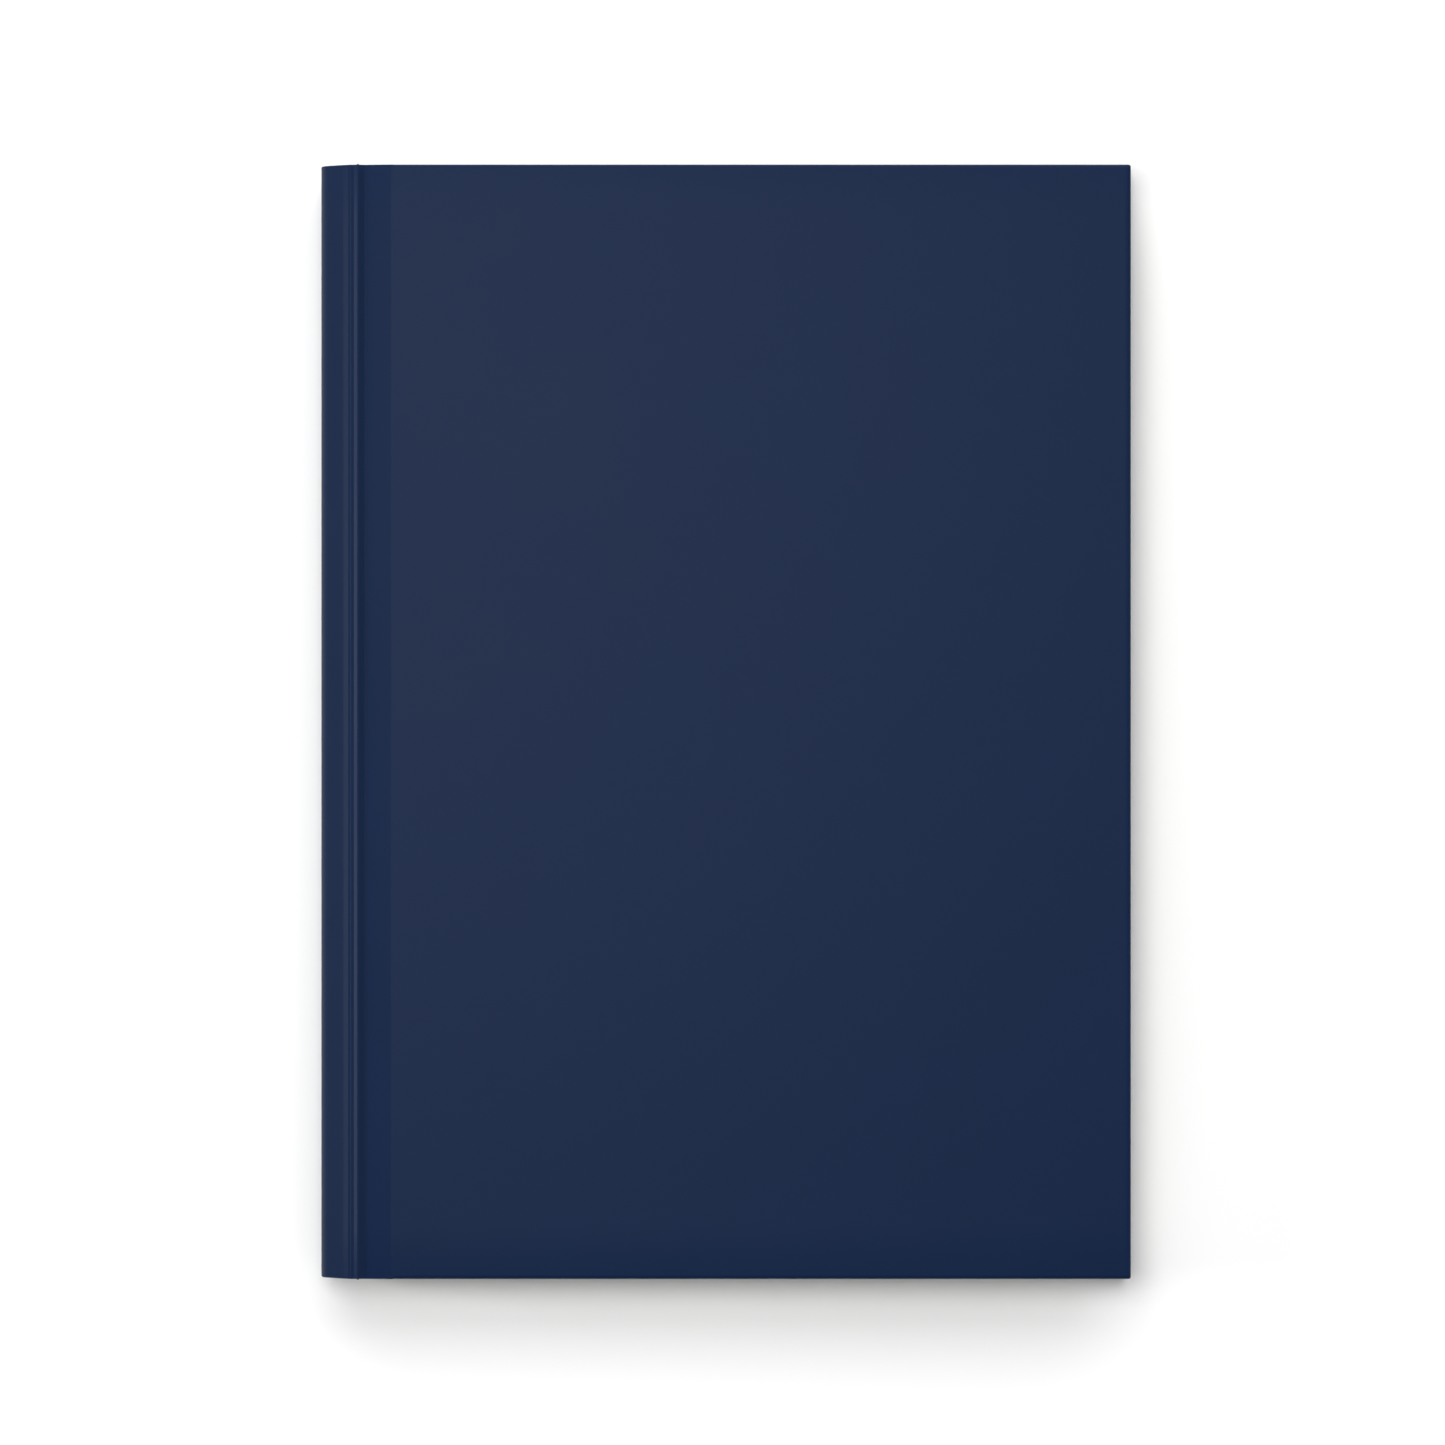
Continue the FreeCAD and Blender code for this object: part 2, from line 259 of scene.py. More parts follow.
def add_sheet(build, points, thickness, tail, head, rows=(), flat_start=0.0, slot=0):
    """A sheet swept along Y: points run along its left-hand face and it is thick to their right."""
    rights = normals(points)
    along = [flat_start + s for s in lengths(points)]
    near, far = [], []
    for y in (tail, *rows, head):
        near.append([build.vert(u, y, z, (s, y)) for (u, z), s in zip(points, along)])
        far.append([
            build.vert(u + n[0] * thickness, y, z + n[1] * thickness, (s, y))
            for (u, z), n, s in zip(points, rights, along)
        ])
    for i in range(len(near) - 1):
        build.strip(near[i], near[i + 1], slot)
        build.strip(far[i + 1], far[i], slot)
        build.face(near[i][0], near[i + 1][0], far[i + 1][0], far[i][0], slot=slot)
        build.face(near[i + 1][-1], near[i][-1], far[i][-1], far[i + 1][-1], slot=slot)
    build.strip(near[-1], far[-1], slot)
    build.strip(far[0], near[0], slot)


def place(obj, nodes, body=None, bend=None):
    """Attaches a piece to its body, or only bakes in its transform when a bend between two bodies is given, and
    hides the CAD nodes that it stands for.
    """
    if bend:
        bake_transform(obj)
    else:
        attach(obj, body)
    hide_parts(*nodes)
    return obj


def cover_bend(side):
    """Where a sheet bends from the block to a cover."""
    return "text_block", side + "_cover", *COVER_BEND, THICK if side == "front" else 0


def with_thickness(obj, thickness):
    """Turns a single skin into a sheet that is thick to the inside."""
    solid = obj.modifiers.new("Thickness", "SOLIDIFY")
    solid.thickness = thickness * MM
    solid.offset = -1
    solid.use_even_offset = False
    solid.use_rim = True
    evaluated = obj.evaluated_get(bpy.context.evaluated_depsgraph_get())
    mesh = bpy.data.meshes.new_from_object(evaluated)
    obj.modifiers.clear()
    obj.data = mesh
    return obj


# The cover sheet


def flank(up):
    return APEX_U + abs(up) * math.tan(FLANK), MID + up


def rim(stack, top_round):
    """(inset from the edge, depth below the face) round the edge of a stack and in under it."""
    under = min(0.35, stack / 2)
    turns = [math.pi / 2 * i / RIM_STEPS for i in range(RIM_STEPS + 1)]
    out = [(top_round * (1 - math.sin(a)), top_round * (1 - math.cos(a))) for a in turns]
    out += [(under * (1 - math.cos(a)), stack - under * (1 - math.sin(a))) for a in turns]
    return out + [(inset, stack) for inset in (2.0, 3.5, 8.0, TURN_IN)]


def cover_points():
    """Outer face of the front cover sheet: crease, ridge, groove, board edge, board."""
    corners = [
        (*flank(CREASE_UP), 0),
        (6.2, 14.53, 0.4),  # foot of the ridge
        (6.98, 15.02, 0.3),  # its top
        (GROOVE_U + 0.35, THICK - GROOVE_DEPTH + 0.06, 0.5),  # bottom of the groove
        (9.3, 14.36, 3.0),  # slope up to the board
        (BOARD_U - 0.15, THICK, 0.6),
        (FORE_U - EDGE_ROUND, THICK, 0),
    ]
    return refined(rounded(corners), joint_steps)


def spine_points():
    """Outer face of the spine from the back crease to the front one, rolling over before each crease."""
    roll_u, roll_z, roll_radius = 4.2, 13.43, 3.0
    lean = math.atan2(roll_u - APEX_U, roll_z - MID)
    radius = -APEX_U / (1 / math.cos(lean) - 1)
    half = [(APEX_U, MID, radius), (roll_u, roll_z, roll_radius), (*flank(CREASE_UP), 0)]
    whole = [(u, THICK - z, r) for u, z, r in half[:0:-1]] + half
    return refined(rounded(whole, math.radians(4)), lambda u: 0.6)


def stack_at(u):
    """Depth from the cover's face to the turned-in sheet's face, over the board and across the joint."""
    return THICK - COVER_INSIDE if u >= BOARD_U else 2 * WRAP


def round_at(u):
    """Radius of the sheet's edge at the head and tail."""
    return EDGE_ROUND if u >= BOARD_U else FOLD_ROUND


def add_cover_skin(build, points, stack, top_round, wraps_fore_edge):
    """The sheet's outer skin over a profile.

    It folds round the head and tail, and round the fore-edge where asked.
    stack and top_round are functions of u.
    """
    half = HEIGHT / 2
    rights = normals(points)
    along = lengths(points)
    shares = [2 * i / SKIN_ROWS - 1 for i in range(SKIN_ROWS + 1)]
    columns = []
    for (u, z), s in zip(points, along):
        reach = half - top_round(u)
        columns.append([build.vert(u, share * reach, z, (s, share * reach)) for share in shares])
    for column, next_column in zip(columns, columns[1:]):
        build.strip(next_column, column)

    limit_u = FORE_U if wraps_fore_edge else math.inf

    def edge_ring(base, outward, right, stack_here, round_here, flat):
        """Vertices from base, on the face's edge, round the rim and in under it."""
        ring = [base[0]]
        for inset, depth in rim(stack_here, round_here)[1:]:
            reach = round_here - inset
            u = base[1] + outward[0] * reach + right[0] * depth
            y = base[2] + outward[1] * reach
            if inset > round_here:
                u = min(u, limit_u - inset)
                y = math.copysign(min(abs(y), half - inset), y)
            z = base[3] + right[1] * depth
            past = reach + depth
            ring.append(build.vert(u, y, z, (flat[0] + outward[0] * past, flat[1] + outward[1] * past)))
        return ring

    rings = []
    for side in (1, -1):
        row = []
        for column, (u, z), right, s in zip(columns, points, rights, along):
            reach = half - top_round(u)
            base = (column[-1 if side > 0 else 0], u, side * reach, z)
            row.append(edge_ring(base, (0, side), right, stack(u), top_round(u), (s, side * reach)))
        rings.append(row)
    if not wraps_fore_edge:
        for row, turn in zip(rings, (False, True)):
            for ring, next_ring in zip(row, row[1:]):
                build.strip(*((ring, next_ring) if turn else (next_ring, ring)))
        return
    u, z = points[-1]
    reach, round_here, right, s = half - top_round(u), top_round(u), rights[-1], along[-1]
    fore = []
    for index, share in enumerate(shares):
        base = (columns[-1][index], u, share * reach, z)
        fore.append(edge_ring(base, (1, 0), right, stack(u), round_here, (s, base[2])))

    def corner_rings(side):
        """Round one corner of the board, along a curve squarer than a circle."""
        out = []
        base = (columns[-1][-1 if side > 0 else 0], u, side * reach, z)
        for i in range(1, RIM_STEPS):
            a = math.pi / 2 * i / RIM_STEPS
            square = (math.sin(a) ** 4 + math.cos(a) ** 4) ** -0.25
            outward = (square * math.sin(a), square * side * math.cos(a))
            out.append(edge_ring(base, outward, right, stack(u), round_here, (s, side * reach)))
        return out

    loop = rings[0] + corner_rings(1) + fore[::-1] + corner_rings(-1)[::-1] + rings[1][::-1]
    for ring, next_ring in zip(loop, loop[1:]):
        build.strip(next_ring, ring)


def make_cover_sheets(laminate):
    """One sheet covers both boards and the spine. It is in three pieces because the covers turn."""
    for side in ("front", "back"):
        build = Build()
        add_cover_skin(build, cover_points(), stack_at, round_at, True)
        obj = build.piece(side + "_cover_sheet", laminate, mirror=side == "back", sharp=50)
        with_thickness(obj, SKIN)
        place(obj, [side + "_wrap", side + "_joint_wrap"], bend=cover_bend(side))
    build = Build()
    add_cover_skin(build, spine_points(), lambda u: SPINE_STACK, lambda u: FOLD_ROUND, False)
    obj = build.piece("spine_cover_sheet", laminate, sharp=50)
    with_thickness(obj, SKIN)
    place(obj, ["spine_wrap"], body="text_block")


# The text block


def back_point(share, inset=0.0):
    """A point of the block's rounded back, from 0 at the front shoulder to 1 at the back shoulder."""
    radius = SPINE_ROUND - BACK_OFFSET - inset
    apex = APEX_U + (BACK_OFFSET + inset) / math.cos(FLANK)
    tip_up = BLOCK_TOP + SHOULDER_RISE - MID
    bend_up = radius * math.sin(FLANK)
    arc = radius * FLANK
    along = (1 - 2 * share) * ((tip_up - bend_up) / math.cos(FLANK) + arc)
    if abs(along) < arc:
        angle = along / radius
        return SPINE_ROUND - radius * math.cos(angle), MID + radius * math.sin(angle)
    up = bend_up + (abs(along) - arc) * math.cos(FLANK)
    return apex + up * math.tan(FLANK), MID + math.copysign(up, along)


def leaf_level(number):
    """Height of the middle of a leaf where it runs straight, leaf 1 being the first under the front flyleaf."""
    if number <= FRONT_TURNING:
        return BLOCK_TOP - (number - 1) * PITCH - LEAF / 2
    if number > LEAVES - BACK_TURNING:
        return THICK - leaf_level(LEAVES + 1 - number)
    return BLOCK_TOP - FRONT_TURNING * PITCH - (number - FRONT_TURNING - 0.5) * LEAF


def fore_edge(z):
    """Distance from the spine to the block's hollowed fore-edge at a height."""
    share = (z - MID) / (BLOCK_TOP - MID)
    return PAGE_FORE_U - FORE_EDGE_HOLLOW * (1 - min(1.0, share * share))


def shoulder_curve(u, z, level, steps=9):
    """Points of the arc that leaves the level at the shoulder and reaches (u, z) at the block's back."""
    run, rise = SHOULDER_U - u, z - level
    if abs(rise) < 0.02:
        return [(SHOULDER_U, level), (u, z)]
    radius = (run ** 2 + rise ** 2) / (2 * rise)
    sweep = math.atan2(run, abs(radius) - abs(rise))
    swings = [sweep * i / steps for i in range(steps + 1)]
    return [(SHOULDER_U - abs(radius) * math.sin(a), level + radius * (1 - math.cos(a))) for a in swings]


def hinge_u(number):
    """Gutter line of a turning leaf: the flyleaf is place 0 from its cover."""
    place_from_cover = number if number <= FRONT_TURNING else LEAVES + 1 - number
    return GUTTER_U + GUTTER_STEP * place_from_cover


def foot_end(number):
    """Where a turning leaf starts, and the fixed foot of its folded sheet stops."""
    return hinge_u(number) - BEND_BEFORE - 0.05


def is_turning(number):
    return number <= FRONT_TURNING or number > LEAVES - BACK_TURNING


def leaf_end(number):
    """Where a leaf of a folded sheet ends: a little unevenly, unless the leaf turns."""
    if is_turning(number):
        return foot_end(number)
    return fore_edge(leaf_level(number)) + random.uniform(-0.04, 0.02)


def add_folded_sheet(build, first, last, depth):
    """A folded sheet of a section: leaf first, round the fold, and out again as leaf last.

    Its flat coordinates start at the fold, so that the ruled table lies the same on both leaves.
    """
    inset = 0.06 + depth * LEAF  # inside the sheets that this one lies in
    middle = ((first + last) / 2 - 0.5) / LEAVES
    narrow = 0.8 if depth else 1.0  # an inner sheet's two legs lie closer at the fold
    legs = []
    for number in (first, last):
        share = middle + ((number - 0.5) / LEAVES - middle) * narrow
        u, z = back_point(share, inset)
        legs.append([(leaf_end(number), leaf_level(number))] + shoulder_curve(u, z, leaf_level(number)))
    fold_u, fold_z = back_point(middle, inset - 0.1)
    points = legs[0] + [(fold_u, fold_z)] + legs[1][::-1]
    points = refined(points, lambda u: LONG if u > SHOULDER_U else 1.0)
    to_fold = lengths(legs[0] + [(fold_u, fold_z)])[-1]
    height = PAGE_HALF + random.uniform(-0.03, 0.0)
    half = SHEET / 2
    rights = normals(points)
    shifted = [(u - n[0] * half, z - n[1] * half) for (u, z), n in zip(points, rights)]
    add_sheet(build, shifted, SHEET, -height, height, flat_start=-to_fold)


def make_sections(page):
    for section in range(1, SECTIONS + 1):
        build = Build()
        first = (section - 1) * PER_SECTION + 1
        for depth in range(PER_SECTION // 2):
            add_folded_sheet(build, first + depth, first + PER_SECTION - 1 - depth, depth)
        name = "section_%02d" % section
        place(build.piece(name + "_leaves", page), [name], body="text_block")


def make_leaf(number, page):
    """A leaf that turns: a flat sheet of its own, with finer faces where it would bend at the gutter."""
    front = number <= FRONT_TURNING
    twin = number if front else LEAVES + 1 - number
    level, hinge, start = leaf_level(twin), hinge_u(number), foot_end(number)
    top = level + SHEET / 2
    points = refined([(start, top), (fore_edge(level), top)], leaf_steps(hinge))
    build = Build()
    add_sheet(build, points, SHEET, -PAGE_HALF, PAGE_HALF, flat_start=start)
    name = "leaf_%02d" % number
    obj = build.piece(name + "_sheet", page, mirror=not front)
    z = top if front else THICK - top
    bend = ("text_block", name + "_body", hinge - BEND_BEFORE, hinge + BEND_AFTER, z)
    place(obj, [name], bend=bend)


def make_flyleaf(side, endpaper):
    """The free half of the endpaper: its foot lies down the shoulder, and it has finer faces at the gutter,
    where it would turn.
    """
    thickness = FLY_HIGH - FLY_LOW - 0.02
    hinge = hinge_u(0)
    u, z = back_point(0)
    foot = shoulder_curve(u + 0.17, z, FLY_HIGH)[::-1]  # ends just inside the block's back
    points = refined(foot + [(PAGE_FORE_U, FLY_HIGH)], leaf_steps(hinge))
    build = Build()
    add_sheet(build, points, thickness, -PAGE_HALF, PAGE_HALF)
    obj = build.piece(side + "_flyleaf_sheet", endpaper, mirror=side == "back")
    height = FLY_HIGH if side == "front" else THICK - FLY_HIGH
    bend = ("text_block", side + "_flyleaf_body", hinge - BEND_BEFORE, hinge + BEND_AFTER, height)
    place(obj, [side + "_flyleaf", side + "_flyleaf_stub"], bend=bend)


def make_endpaper(side, endpaper):
    """The pasted half of the endpaper, across the joint and on the board over the turned-in cover sheet."""
    z = PASTE_HIGH.z - 0.005
    groove_z = THICK - JOINT_DEPTH - 0.05 - GAUZE_GAP
    joint = [
        (JOINT_U, groove_z, 0),
        (GROOVE_U + 0.5, groove_z, 0.8),
        (BOARD_U - 0.1, z, 0.5),
        (BOARD_U + 1.5, z, 0),
    ]
    mull_end, turned = BOARD_U + 20, FORE_U - TURN_IN
    slope = 0.6  # half the width of the step down from the turned-in sheet
    on_board = [BOARD_U + 10, mull_end - 0.5, mull_end + 0.5, 60, 90]
    on_board += [turned - slope, turned + slope, PAGE_FORE_U]
    points = refined(rounded(joint) + [(u, z) for u in on_board], joint_steps)
    edge = HEIGHT / 2 - TURN_IN
    rows = sorted([0] + [s * y for s in (-1, 1) for y in (edge + slope, edge - slope, 40)])
    build = Build()
    add_sheet(build, points, PASTE_HIGH.z - PASTE_LOW.z - 0.01, -PAGE_HALF, PAGE_HALF, rows=rows)
    sunk = 0.055  # inside the turn-ins the endpaper lies closer to the board
    for i, (x, y, height) in enumerate(build.verts):
        u = x / MM - SPINE_X
        in_window = BOARD_U + 1 < u < turned and abs(y) < edge * MM
        on_mull = u < mull_end and abs(y) < MULL_HALF * MM
        if in_window and not on_mull:
            build.verts[i] = (x, y, height + sunk * MM)
    obj = build.piece(side + "_pastedown_sheet", endpaper, mirror=side == "back")
    place(obj, [side + "_pastedown", side + "_joint_endpaper"], bend=cover_bend(side))


def make_joint_mull(side, mull):
    """The gauze across the joint, between the cover sheet and the endpaper."""
    under = THICK - JOINT_DEPTH - 0.06
    board_edge = (BOARD_U - 0.1, COVER_INSIDE + 0.17, 0)
    corners = [(JOINT_U, under, 0), (GROOVE_U + 0.5, under, 0.8), board_edge]
    build = Build()
    add_sheet(build, refined(rounded(corners), joint_steps), GAUZE, -MULL_HALF, MULL_HALF)
    obj = build.piece(side + "_joint_gauze", mull, mirror=side == "back")
    place(obj, [side + "_joint_mull"], bend=cover_bend(side))


def make_band(end, band):
    """A stitched band: a cord across the folds, wound with two colours of thread."""
    node = end + "_band"
    low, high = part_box(node)
    y_mid = (low.y + high.y) / 2 / MM
    bead = (high.y - low.y) / 2 / MM
    top = BLOCK_TOP + SHOULDER_RISE - MID - 0.8  # it stops short of the shoulders
    line = [(*flank(-top), 0), (APEX_U, MID, SPINE_ROUND), (*flank(top), 0)]
    points = refined(rounded(line, math.radians(3)), lambda u: 0.09)
    rights = normals(points)
    along = lengths(points)
    winding = 0.42  # from one turn of the thread to the next
    middle = BACK_OFFSET + bead
    build = Build()
    rows = []
    for (u, z), n, s in zip(points, rights, along):
        swell = 0.9 + 0.1 * abs(math.sin(math.pi * s / winding))
        ends = min(1.0, (min(s, along[-1] - s) + 0.03) / 0.25)
        radius = bead * swell * math.sqrt(ends)
        row = []
        for k in range(BAND_SIDES + 1):
            a = 2 * math.pi * k / BAND_SIDES
            out = middle + radius * math.cos(a)
            row.append(build.vert(u + n[0] * out, y_mid + radius * math.sin(a), z + n[1] * out, (s, a * bead)))
        rows.append(row)
    for row, next_row in zip(rows, rows[1:]):
        build.strip(next_row, row)
    build.face(*rows[0][:-1])
    build.face(*rows[-1][:-1][::-1])
    place(build.piece(end + "_band_stitching", band, sharp=60), [node], body="text_block")


# Materials


class Nodes:
    """A small helper for writing a material's node tree."""

    def __init__(self, name):
        self.material = bpy.data.materials.new(name)
        self.material.use_nodes = True
        self.tree = self.material.node_tree
        self.shader = self.tree.nodes["Principled BSDF"]

    def add(self, kind, inputs=(), **settings):
        node = self.tree.nodes.new("ShaderNode" + kind)
        for key, value in settings.items():
            setattr(node, key, value)
        for key, value in dict(inputs).items():
            self.join(value, node.inputs[key])
        return node

    def join(self, value, socket):
        if isinstance(value, bpy.types.NodeSocket):
            self.tree.links.new(value, socket)
        elif isinstance(value, bpy.types.Node):
            self.tree.links.new(value.outputs[0], socket)
        else:
            socket.default_value = value

    def math(self, operation, a, b=0.0, c=0.0):
        return self.add("Math", {0: a, 1: b, 2: c}, operation=operation).outputs[0]

    def flat(self):
        """Position on the flat sheet, in metres."""
        return self.add("UVMap", uv_map="flat").outputs[0]

    def place(self):
        """Position on the object, in metres."""
        return self.add("TexCoord").outputs["Object"]

    def noise(self, where, scale, detail=3.0, roughness=0.55):
        inputs = {"Vector": where, "Scale": scale, "Detail": detail, "Roughness": roughness}
        return self.add("TexNoise", inputs).outputs["Fac"]

    def mix(self, share, a, b):
        return self.add("Mix", {0: share, 6: a, 7: b}, data_type="RGBA").outputs[2]

    def ramp(self, value, low, high, to_low=0.0, to_high=1.0):
        inputs = {0: value, 1: low, 2: high, 3: to_low, 4: to_high}
        return self.add("MapRange", inputs).outputs[0]

    def bump(self, height, strength, distance, normal=None):
        inputs = {"Height": height, "Strength": strength, "Distance": distance}
        if normal is not None:
            inputs["Normal"] = normal
        return self.add("Bump", inputs).outputs[0]

    def finish(self, **sockets):
        for key, value in sockets.items():
            self.join(value, self.shader.inputs[key.replace("_", " ")])
        return self.material


def laminate_material():
    """Navy printed sheet under a fine-grained matt film."""
    n = Nodes("navy_matt_laminate")
    where = n.flat()
    cloud = n.noise(where, 28.0, 4.0)
    speck = n.noise(where, 2600.0, 2.0)
    grain = n.noise(where, 5200.0, 3.0, 0.6)
    wave = n.noise(where, 45.0, 2.0)
    colour = n.mix(n.ramp(cloud, 0.3, 0.7), (0.0043, 0.0133, 0.0427, 1), (0.0047, 0.0143, 0.0455, 1))
    colour = n.mix(n.ramp(speck, 0.62, 0.8, 0.0, 0.35), colour, (0.009, 0.021, 0.060, 1))
    rough = n.ramp(cloud, 0.3, 0.7, 0.38, 0.42)
    normal = n.bump(wave, 0.15, 0.0002)
    normal = n.bump(grain, 0.35, 0.00002, normal)
    film = {"IOR": 1.5, "Specular_IOR_Level": 0.05, "Coat_Weight": 0.014, "Coat_Roughness": 0.25}
    return n.finish(Base_Color=colour, Roughness=rough, Normal=normal, **film)


def paper_material(name, colour, ruled=False):
    """Uncoated paper: faint fibres, a little cloudiness, and for pages a ruled table."""
    n = Nodes(name)
    where = n.flat()
    cloud = n.noise(where, 120.0, 3.0)
    fibre = n.noise(where, 2400.0, 5.0, 0.7)
    pale, dull, aged = (tuple(c * share for c in colour) + (1,) for share in (1.015, 0.985, 0.80))
    base = n.mix(n.ramp(cloud, 0.35, 0.65), dull, pale)
    island = n.add("NewGeometry").outputs["Random Per Island"]
    base = n.mix(n.ramp(island, 0.0, 1.0, 0.0, 0.10), base, aged)
    if ruled:
        blue_ink = (0.17, 0.30, 0.46, 1)
        base = n.mix(ruled_table(n, where), base, blue_ink)
    normal = n.bump(fibre, 0.25, 0.00003)
    return n.finish(Base_Color=base, Roughness=0.82, Normal=normal)


def ruled_table(n, where):
    """Ink share of a blank log page: ruled rows, columns of several widths and a tinted heading."""
    split = n.add("SeparateXYZ", {0: where})
    x = n.math("ABSOLUTE", split.outputs[0])
    y = split.outputs[1]
    left, right, foot, head = 22 * MM, 132 * MM, -88 * MM, 88 * MM
    row, line = 8 * MM, 0.11 * MM  # line is half a ruled line's width
    line_ink, tint_ink = 0.75, 0.16
    column_ends = (0.13, 0.25, 0.37, 0.46, 0.55, 0.64, 0.73, 0.82, 0.91, 1.0)

    def between(value, low, high):
        return n.math("MULTIPLY", n.math("GREATER_THAN", value, low), n.math("LESS_THAN", value, high))

    def near(value, at):
        return n.math("COMPARE", value, at, line)

    rows = n.math("LESS_THAN", n.math("PINGPONG", n.math("SUBTRACT", y, foot), row / 2), line)
    columns = near(x, left)
    for share in column_ends:
        columns = n.math("MAXIMUM", columns, near(x, left + (right - left) * share))
    inside = n.math("MULTIPLY", between(x, left - line, right + line), between(y, foot - line, head + line))
    heading = n.math("MULTIPLY", n.math("GREATER_THAN", y, head - 2 * row), tint_ink)
    ink = n.math("MAXIMUM", n.math("MULTIPLY", n.math("MAXIMUM", rows, columns), line_ink), heading)
    return n.math("MULTIPLY", ink, inside)


def board_material():
    """Grey recycled board: flecked and rough."""
    n = Nodes("greyboard")
    where = n.place()
    fleck = n.noise(where, 900.0, 6.0, 0.75)
    colour = n.mix(n.ramp(fleck, 0.35, 0.65), (0.24, 0.225, 0.20, 1), (0.36, 0.345, 0.32, 1))
    return n.finish(Base_Color=colour, Roughness=0.9, Normal=n.bump(fleck, 0.5, 0.0001))


def kraft_material():
    """Brown liner paper."""
    n = Nodes("kraft_liner")
    where = n.place()
    fibre = n.noise(where, 1500.0, 6.0, 0.7)
    colour = n.mix(n.ramp(fibre, 0.3, 0.7), (0.30, 0.19, 0.10, 1), (0.42, 0.28, 0.16, 1))
    return n.finish(Base_Color=colour, Roughness=0.85, Normal=n.bump(fibre, 0.4, 0.00005))


def weave_material(name, light, dark, pitch):
    """Open plain weave: two crossing sets of threads."""
    n = Nodes(name)
    where = n.place()
    split = n.add("SeparateXYZ", {0: where})
    phases = [n.math("MULTIPLY", split.outputs[i], math.pi / pitch) for i in (0, 1)]
    warp, weft = (n.math("ABSOLUTE", n.math("SINE", phase)) for phase in phases)
    height = n.math("MAXIMUM", warp, weft)
    colour = n.mix(n.ramp(height, 0.55, 0.95), dark, light)
    return n.finish(Base_Color=colour, Roughness=0.95, Normal=n.bump(height, 0.6, 0.0001))


def thread_material():
    """Waxed linen thread with a visible twist."""
    n = Nodes("linen_thread")
    split = n.add("SeparateXYZ", {0: n.place()})
    twist_rate = 9000.0
    along, up = (n.math("MULTIPLY", split.outputs[i], twist_rate) for i in (1, 2))
    twist = n.math("ADD", along, up)
    ply = n.math("ABSOLUTE", n.math("SINE", twist))
    colour = n.mix(ply, (0.45, 0.40, 0.30, 1), (0.78, 0.74, 0.64, 1))
    return n.finish(Base_Color=colour, Roughness=0.7, Normal=n.bump(ply, 0.5, 0.00005))


def band_material():
    """Silky band wound in cream and navy."""
    n = Nodes("band_stitching")
    split = n.add("SeparateXYZ", {0: n.flat()})
    pair, strand_width = 1.68 * MM, 0.14 * MM  # a cream and a navy stripe together, and one strand
    stripe = n.math("LESS_THAN", n.math("MODULO", split.outputs[0], pair), pair / 2)
    strand = n.math("ABSOLUTE", n.math("SINE", n.math("MULTIPLY", split.outputs[0], math.pi / strand_width)))
    colour = n.mix(stripe, (0.74, 0.70, 0.60, 1), (0.018, 0.035, 0.10, 1))
    return n.finish(Base_Color=colour, Roughness=0.45, Normal=n.bump(strand, 0.35, 0.00004), Sheen_Weight=0.3)


def floor_material():
    """Matt off-white paper sweep."""
    n = Nodes("studio_floor")
    cloud = n.noise(n.place(), 3.0, 2.0)
    colour = n.mix(cloud, (0.86, 0.86, 0.86, 1), (0.87, 0.87, 0.87, 1))
    return n.finish(Base_Color=colour, Roughness=0.9, Specular_IOR_Level=0.0)


def dress_hidden_nodes(board, mull, kraft, thread):
    """Materials for the CAD pieces that stay as they are inside the case."""
    finishes = {"board": board, "inlay": board, "mull": mull, "flange": mull, "liner": kraft, "thread": thread}
    for name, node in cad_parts.items():
        for word, material in finishes.items():
            if name.endswith(word):
                node.data.materials.clear()
                node.data.materials.append(material)


# Stage


def make_stage():
    bpy.ops.mesh.primitive_plane_add(size=6.0, location=(0, 0, 0))
    floor = bpy.context.object
    floor.name = "studio_floor"
    floor.data.materials.append(floor_material())


def area_light(name, location, size, power):
    """A softbox that faces the origin."""
    data = bpy.data.lights.new(name, "AREA")
    data.shape = "RECTANGLE"
    data.size, data.size_y = size
    data.energy = power
    light = bpy.data.objects.new(name, data)
    light.location = location
    light.rotation_euler = (-location).to_track_quat("-Z", "Y").to_euler()
    bpy.context.scene.collection.objects.link(light)


ROOM = 1.25  # the room's brightness where no band darkens it

# Axis (0 to 2), low and high end of a band of directions, and the share of light at each end
ROOM_BANDS = (
    (2, 0.0, 0.3, 0.25, 1.0),
    (2, 0.55, 0.86, 1.0, 0.04),
    (0, -0.8, -0.1, 0.15, 1.0),
    (1, -0.8, 0.0, 0.5, 1.0),
)

# Name, azimuth and elevation in degrees, distance and size in metres, watts
SOFTBOXES = (
    ("overhead", 143, 80, 1.0, (0.45, 0.45), 4.8),
    ("softbox_head", 92, 42, 1.8, (2.4, 1.4), 26),
    ("strip_left", 180, 24, 1.6, (0.4, 0.2), 11),
)


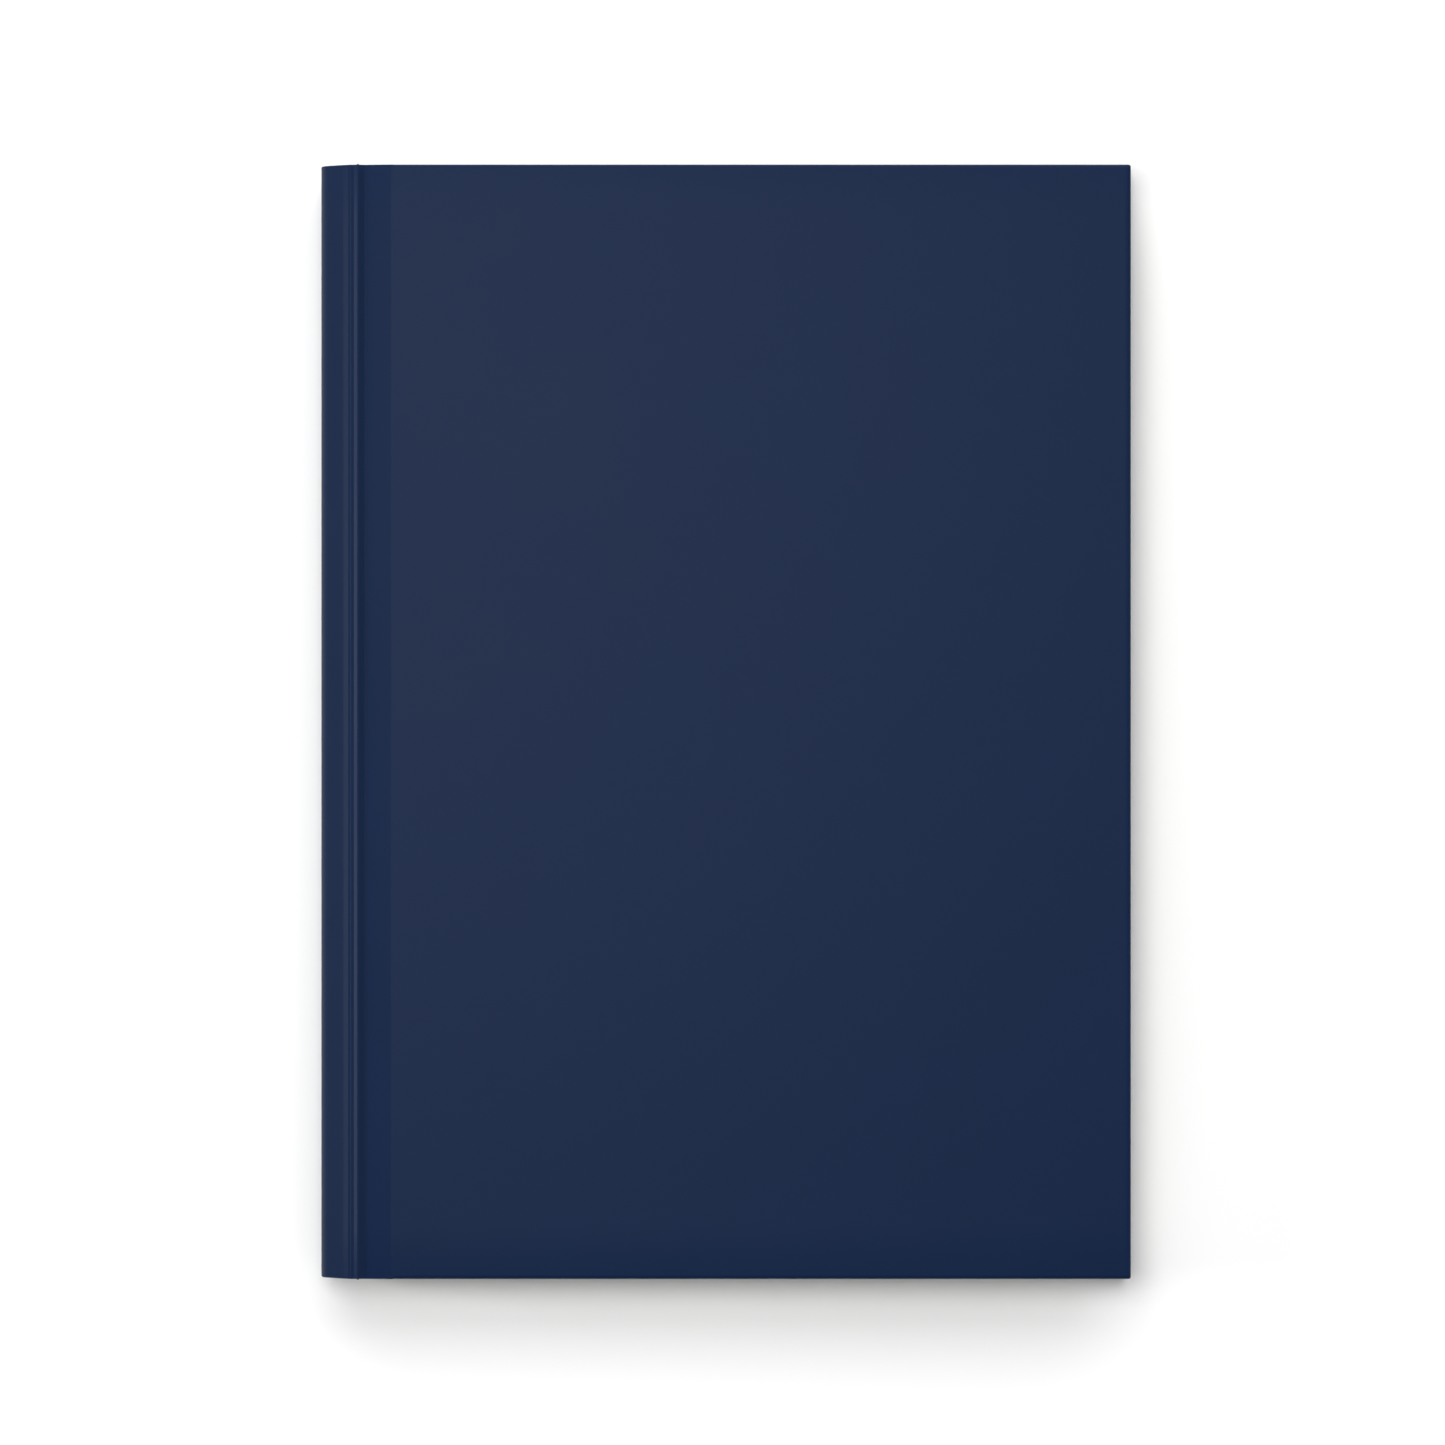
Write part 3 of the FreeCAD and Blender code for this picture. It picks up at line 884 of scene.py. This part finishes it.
def make_lights():
    """A pale room, darker overhead, at the horizon and to the spine and tail sides, and three softboxes."""
    world = bpy.data.worlds.new("studio_air")
    world.use_nodes = True
    tree = world.node_tree
    background = tree.nodes["Background"]
    background.inputs["Color"].default_value = (1, 1, 1, 1)
    where = tree.nodes.new("ShaderNodeTexCoord")
    split = tree.nodes.new("ShaderNodeSeparateXYZ")
    tree.links.new(where.outputs["Generated"], split.inputs[0])
    strength = None
    for axis, low, high, at_low, at_high in ROOM_BANDS:
        ramp = tree.nodes.new("ShaderNodeMapRange")
        ramp.interpolation_type = "SMOOTHSTEP"
        for socket, value in zip(ramp.inputs[1:5], (low, high, at_low, at_high)):
            socket.default_value = value
        tree.links.new(split.outputs[axis], ramp.inputs[0])
        product = tree.nodes.new("ShaderNodeMath")
        product.operation = "MULTIPLY"
        tree.links.new(ramp.outputs[0], product.inputs[0])
        if strength is None:
            product.inputs[1].default_value = ROOM
        else:
            tree.links.new(strength, product.inputs[1])
        strength = product.outputs[0]
    tree.links.new(strength, background.inputs["Strength"])
    bpy.context.scene.world = world
    for name, azimuth, elevation, distance, size, power in SOFTBOXES:
        a, e = math.radians(azimuth), math.radians(elevation)
        location = Vector((math.cos(a) * math.cos(e), math.sin(a) * math.cos(e), math.sin(e))) * distance
        area_light(name, location, size, power)


def make_camera():
    """Straight above the book, far off, with the book a little right of the frame's centre."""
    width = 263.4 * MM  # seen across the frame at the front cover's height
    distance = 1.7
    data = bpy.data.cameras.new("camera")
    data.sensor_width = 36
    data.lens = data.sensor_width * distance / width
    data.clip_end = 20
    camera = bpy.data.objects.new("camera", data)
    camera.location = (-0.51 * MM, -0.13 * MM, distance + THICK * MM)
    bpy.context.scene.collection.objects.link(camera)
    bpy.context.scene.camera = camera


def build_logbook():
    laminate = laminate_material()
    page = paper_material("ruled_page", (0.80, 0.77, 0.68), ruled=True)
    endpaper = paper_material("endpaper", (0.82, 0.79, 0.71))
    mull = weave_material("mull_gauze", (0.72, 0.69, 0.60, 1), (0.42, 0.40, 0.34, 1), 0.9 * MM)
    band = band_material()
    make_cover_sheets(laminate)
    make_sections(page)
    for number in range(1, LEAVES + 1):
        if is_turning(number):
            make_leaf(number, page)
    for side in ("front", "back"):
        make_flyleaf(side, endpaper)
        make_endpaper(side, endpaper)
        make_joint_mull(side, mull)
    for end in ("head", "tail"):
        make_band(end, band)
    dress_hidden_nodes(board_material(), mull, kraft_material(), thread_material())


build_logbook()
make_stage()
make_lights()
make_camera()
bpy.context.scene.view_settings.view_transform = "Standard"
bpy.context.scene.view_settings.look = "None"
